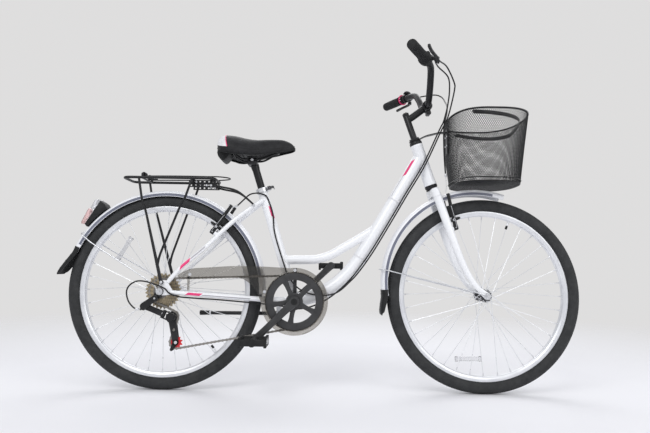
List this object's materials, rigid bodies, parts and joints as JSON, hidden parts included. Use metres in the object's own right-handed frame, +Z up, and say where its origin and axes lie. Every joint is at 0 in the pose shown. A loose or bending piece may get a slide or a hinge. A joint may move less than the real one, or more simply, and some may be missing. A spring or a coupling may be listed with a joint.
{
  "type": "city bicycle",
  "caption": "Step-through city bicycle with a wire front basket, luggage rack, mudguards, chain guard and derailleur gears; the steering, wheels, drive, brakes, saddle and stand move.",
  "frame": {"origin": "middle of the bounding box, on the ground under the tyres", "axes": "+X towards the front wheel, +Y to the rider's left, +Z up"},
  "size_m": [1.7691, 0.6834, 1.1023],
  "materials": {
    "white_paint": "glossy white paint",
    "black_paint": "satin black paint",
    "tyre_rubber": "moulded rubber",
    "black_plastic": "matt black plastic",
    "bright_alloy": "bright alloy",
    "dark_steel": "oiled dark steel",
    "brass_steel": "brown oiled steel",
    "smoked_plastic": "see-through smoked plastic",
    "red_plastic": "red plastic",
    "lamp_lens": "red lens over a clear housing",
    "saddle_vinyl": "black padded vinyl"
  },
  "bodies": {
    "main_frame": {"frame": "white_paint", "upper_headset_cup": "black_paint", "lower_headset_cup": "black_paint", "seat_clamp": "bright_alloy", "rear_axle": "bright_alloy", "bottom_bracket": "black_paint", "chain_guard": "smoked_plastic", "rear_fender": "white_paint", "rear_fender_stay": "bright_alloy", "rear_lamp": "lamp_lens", "luggage_rack": "black_paint", "rear_brake_cable": "black_plastic", "shift_cable": "black_plastic", "chain": "dark_steel", "derailleur_base": "black_paint"},
    "clamp_lever": {"seat_clamp_lever": "bright_alloy"},
    "seat": {"seat_post": "black_paint", "saddle_rails": "bright_alloy", "saddle": "saddle_vinyl"},
    "spring_clip": {"rack_clip": "black_paint"},
    "stand": {"kickstand": "black_paint"},
    "crankset": {"right_crank": "black_paint", "left_crank": "black_paint", "chainring": "black_paint"},
    "pedal_right": {"right_pedal": "black_plastic"},
    "pedal_left": {"left_pedal": "black_plastic"},
    "sprockets": {"freewheel": "brass_steel"},
    "rear_wheel": {"rear_spoked_hub": "bright_alloy", "rear_rim": "bright_alloy", "rear_tyre": "tyre_rubber"},
    "link": {"derailleur_link": "black_paint"},
    "knuckle": {"derailleur_knuckle": "black_paint"},
    "cage": {"derailleur_cage": "black_paint"},
    "upper_pulley": {"guide_pulley": "black_plastic"},
    "lower_pulley": {"tension_pulley": "red_plastic"},
    "rear_arm_right": {"rear_brake_arm_right": "black_paint"},
    "rear_arm_left": {"rear_brake_arm_left": "black_paint"},
    "steered": {"fork": "white_paint", "stem": "black_paint", "handlebar": "black_paint", "right_grip": "black_plastic", "left_grip": "black_plastic", "right_brake_perch": "black_plastic", "left_brake_perch": "black_plastic", "bell": "black_plastic", "basket": "black_paint", "front_fender": "white_paint", "front_fender_stay": "bright_alloy", "front_axle": "bright_alloy", "front_brake_cable": "black_plastic", "rear_brake_cable_loop": "black_plastic", "shift_cable_loop": "black_plastic"},
    "lever_right": {"right_brake_lever": "black_plastic"},
    "lever_left": {"left_brake_lever": "black_plastic"},
    "shifter": {"twist_shifter": "black_plastic"},
    "front_wheel": {"front_spoked_hub": "bright_alloy", "front_rim": "bright_alloy", "front_tyre": "tyre_rubber"},
    "front_arm_right": {"front_brake_arm_right": "black_paint"},
    "front_arm_left": {"front_brake_arm_left": "black_paint"}
  },
  "joints": [
    {"name": "steering", "type": "hinge", "parent": "main_frame", "child": "steered", "pos_m": [0.32745, 0, 0.855], "axis": [-0.3305, 0, 0.9438], "range_deg": [-65, 65], "deforming": ["rear_brake_cable", "shift_cable", "rear_brake_cable_loop", "shift_cable_loop"]},
    {"name": "front_wheel_spin", "type": "hinge", "parent": "steered", "child": "front_wheel", "pos_m": [0.55805, 0, 0.3265], "axis": [0, 1, 0], "continuous": true},
    {"name": "rear_wheel_spin", "type": "hinge", "parent": "main_frame", "child": "rear_wheel", "pos_m": [-0.51755, 0, 0.3265], "axis": [0, 1, 0], "continuous": true},
    {"name": "crank_spin", "type": "hinge", "parent": "main_frame", "child": "crankset", "pos_m": [-0.07895, 0, 0.2995], "axis": [0, 1, 0], "continuous": true},
    {"name": "right_pedal_spin", "type": "hinge", "parent": "crankset", "child": "pedal_right", "pos_m": [-0.19999, -0.1365, 0.18013], "axis": [0, 1, 0], "continuous": true},
    {"name": "left_pedal_spin", "type": "hinge", "parent": "crankset", "child": "pedal_left", "pos_m": [0.0421, 0.1365, 0.41887], "axis": [0, 1, 0], "continuous": true},
    {"name": "freewheel_spin", "type": "hinge", "parent": "main_frame", "child": "sprockets", "pos_m": [-0.51755, 0, 0.3265], "axis": [0, 1, 0], "continuous": true},
    {"name": "derailleur_swing", "type": "hinge", "parent": "main_frame", "child": "link", "pos_m": [-0.56329, -0.078, 0.27966], "axis": [0.4051, 0, 0.9143], "range_deg": [-13.1, 13.7], "deforming": ["chain"]},
    {"name": "knuckle_pivot", "type": "hinge", "parent": "link", "child": "knuckle", "pos_m": [-0.50295, -0.0655, 0.25293], "axis": [0.4051, 0, 0.9143], "range_deg": [-13.7, 13.1]},
    {"name": "cage_pivot", "type": "hinge", "parent": "knuckle", "child": "cage", "pos_m": [-0.48055, 0, 0.243], "axis": [0, 1, 0], "range_deg": [-35, 12], "stiffness_Nm_per_rad": 0.6, "deforming": ["chain"]},
    {"name": "guide_pulley_spin", "type": "hinge", "parent": "cage", "child": "upper_pulley", "pos_m": [-0.48055, -0.046, 0.243], "axis": [0, 1, 0], "continuous": true},
    {"name": "tension_pulley_spin", "type": "hinge", "parent": "cage", "child": "lower_pulley", "pos_m": [-0.46455, -0.046, 0.161], "axis": [0, 1, 0], "continuous": true},
    {"name": "shifter_twist", "type": "hinge", "parent": "steered", "child": "shifter", "pos_m": [0.31465, -0.22571, 1.0717], "axis": [0.4748, 0.8801, 0], "range_deg": [-58, 61]},
    {"name": "rear_arm_left_pivot", "type": "hinge", "parent": "main_frame", "child": "rear_arm_left", "pos_m": [-0.35709, 0.048, 0.52621], "axis": [-0.8351, 0, 0.5501], "range_deg": [0, 2.4], "stiffness_Nm_per_rad": 0.8},
    {"name": "rear_arm_right_pivot", "type": "hinge", "parent": "main_frame", "child": "rear_arm_right", "pos_m": [-0.35709, -0.048, 0.52621], "axis": [-0.8351, 0, 0.5501], "range_deg": [-2.4, 0], "stiffness_Nm_per_rad": 0.8},
    {"name": "right_lever_pivot", "type": "hinge", "parent": "steered", "child": "lever_right", "pos_m": [0.36221, -0.20705, 1.0637], "axis": [0, 0, 1], "range_deg": [0, 21], "stiffness_Nm_per_rad": 0.05},
    {"name": "front_arm_left_pivot", "type": "hinge", "parent": "steered", "child": "front_arm_left", "pos_m": [0.45681, 0.046, 0.55277], "axis": [0.9438, 0, 0.3305], "range_deg": [0, 2.4], "stiffness_Nm_per_rad": 0.8},
    {"name": "front_arm_right_pivot", "type": "hinge", "parent": "steered", "child": "front_arm_right", "pos_m": [0.45681, -0.046, 0.55277], "axis": [0.9438, 0, 0.3305], "range_deg": [-2.4, 0], "stiffness_Nm_per_rad": 0.8},
    {"name": "left_lever_pivot", "type": "hinge", "parent": "steered", "child": "lever_left", "pos_m": [0.34654, 0.2361, 1.0637], "axis": [0, 0, 1], "range_deg": [-21, 0], "stiffness_Nm_per_rad": 0.05},
    {"name": "kickstand_pivot", "type": "hinge", "parent": "main_frame", "child": "stand", "pos_m": [-0.13455, 0.043, 0.252], "axis": [-0.0759, -0.9371, -0.3406], "range_deg": [0, 98.7]},
    {"name": "seat_height", "type": "slide", "parent": "main_frame", "child": "seat", "axis": [-0.308, 0, 0.9514], "range_m": [-0.06, 0.06]},
    {"name": "clamp_lever_pivot", "type": "hinge", "parent": "main_frame", "child": "clamp_lever", "pos_m": [-0.17464, -0.0165, 0.68108], "axis": [0.308, 0, -0.9514], "range_deg": [0, 160]},
    {"name": "rack_clip_pivot", "type": "hinge", "parent": "main_frame", "child": "spring_clip", "pos_m": [-0.59755, 0, 0.7165], "axis": [0, -1, 0], "range_deg": [0, 18], "stiffness_Nm_per_rad": 0.5}
  ],
  "couplings": [
    {"joint": "freewheel_spin", "follows": "crank_spin", "ratio": 2.1},
    {"joint": "guide_pulley_spin", "follows": "crank_spin", "ratio": -4.2},
    {"joint": "tension_pulley_spin", "follows": "crank_spin", "ratio": 4.2},
    {"joint": "knuckle_pivot", "follows": "derailleur_swing", "ratio": -1},
    {"joint": "shifter_twist", "follows": "derailleur_swing", "ratio": 4.4},
    {"joint": "rear_arm_right_pivot", "follows": "rear_arm_left_pivot", "ratio": -1},
    {"joint": "right_lever_pivot", "follows": "rear_arm_left_pivot", "ratio": 8.75},
    {"joint": "front_arm_right_pivot", "follows": "front_arm_left_pivot", "ratio": -1},
    {"joint": "left_lever_pivot", "follows": "front_arm_left_pivot", "ratio": -8.75}
  ]
}
